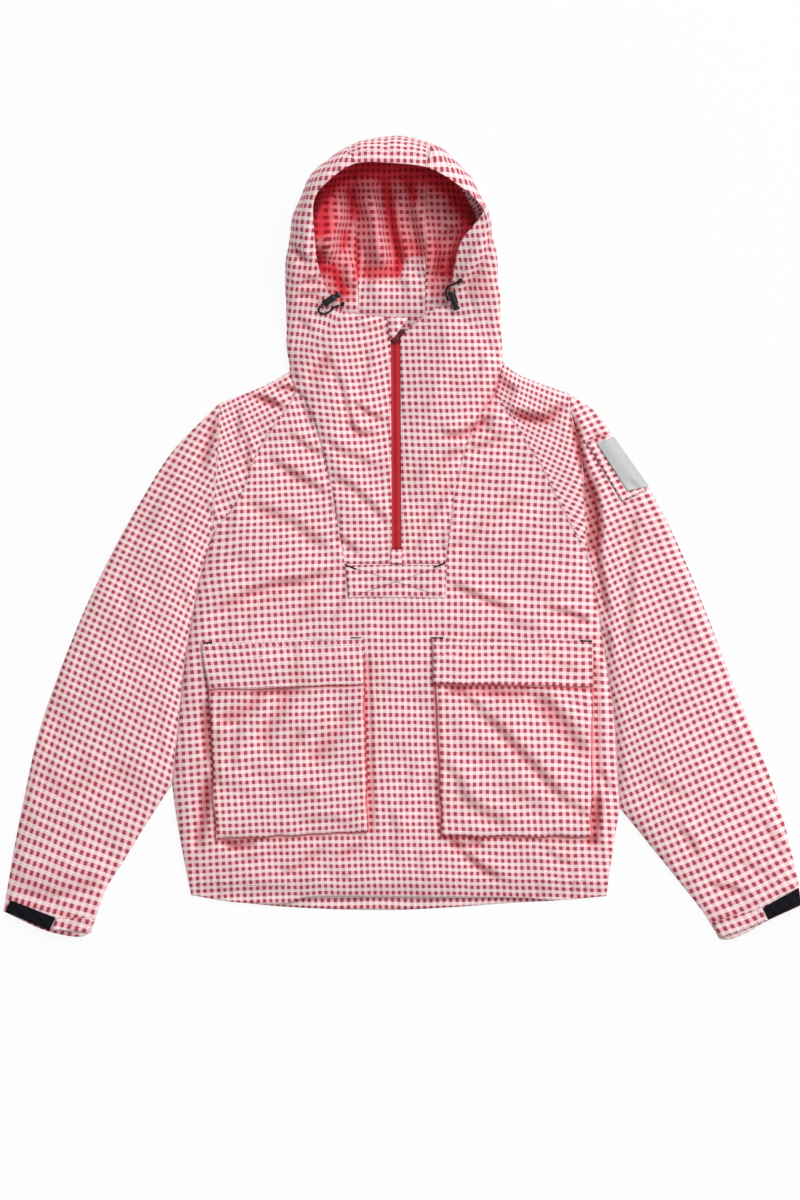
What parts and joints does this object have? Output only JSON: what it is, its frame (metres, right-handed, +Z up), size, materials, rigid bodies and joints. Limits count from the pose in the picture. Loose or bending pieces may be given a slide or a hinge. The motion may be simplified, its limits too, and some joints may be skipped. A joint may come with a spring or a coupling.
{
  "type": "hooded anorak pullover",
  "caption": "Checked hooded anorak pullover with a half zip, bellows pockets under flaps, raglan shoulders and cuff tabs, laid flat on its back with the hood propped open.",
  "frame": {"origin": "on the underside of the back panel, on the centre line, 45 mm below the yoke's base", "axes": "+Z up from the surface the garment lies on, +Y from the hem to the hood, +X to the wearer's left sleeve"},
  "size_m": [0.999, 1.0034, 0.091],
  "materials": {
    "check": "matte woven red and white small check",
    "zip": "red woven tape with a moulded coil",
    "black_plastic": "smooth moulded",
    "black_cord": "braided",
    "hook_tape": "hook-and-loop tape",
    "grey_patch": "satin, plain"
  },
  "bodies": {
    "garment": {"back_panel": "check", "front_panel": "check", "shoulder_left": "check", "shoulder_right": "check", "sleeve_top_left": "check", "sleeve_top_right": "check", "sleeve_under_left": "check", "sleeve_under_right": "check", "hood_side_left": "check", "hood_side_right": "check", "hood_centre": "check", "zip_tape": "zip", "zip_coil": "zip", "zip_slider": "zip", "zip_garage": "check", "placket_patch": "check", "zip_end_patch": "check", "pocket_left": "check", "pocket_right": "check", "flap_left": "check", "flap_right": "check", "cuff_strip_left": "hook_tape", "cuff_strip_right": "hook_tape", "cuff_tab_left": "check", "cuff_tab_right": "check", "patch_backing": "check", "patch_face": "grey_patch", "cord_lock_left": "black_plastic", "cord_lock_right": "black_plastic", "cord_left": "black_cord", "cord_right": "black_cord", "cord_knot_left": "black_cord", "cord_knot_right": "black_cord"},
    "button_left": {"lock_button_left": "black_plastic"},
    "button_right": {"lock_button_right": "black_plastic"}
  },
  "joints": [
    {"name": "lock_button_right_press", "type": "slide", "parent": "garment", "child": "button_right", "axis": [-0.8387, -0.5446, 0], "range_m": [0, 0.003], "stiffness_N_per_m": 1200, "springref_m": -0.001},
    {"name": "lock_button_left_press", "type": "slide", "parent": "garment", "child": "button_left", "axis": [-0.2924, 0.9563, 0], "range_m": [0, 0.003], "stiffness_N_per_m": 1200, "springref_m": -0.001}
  ]
}
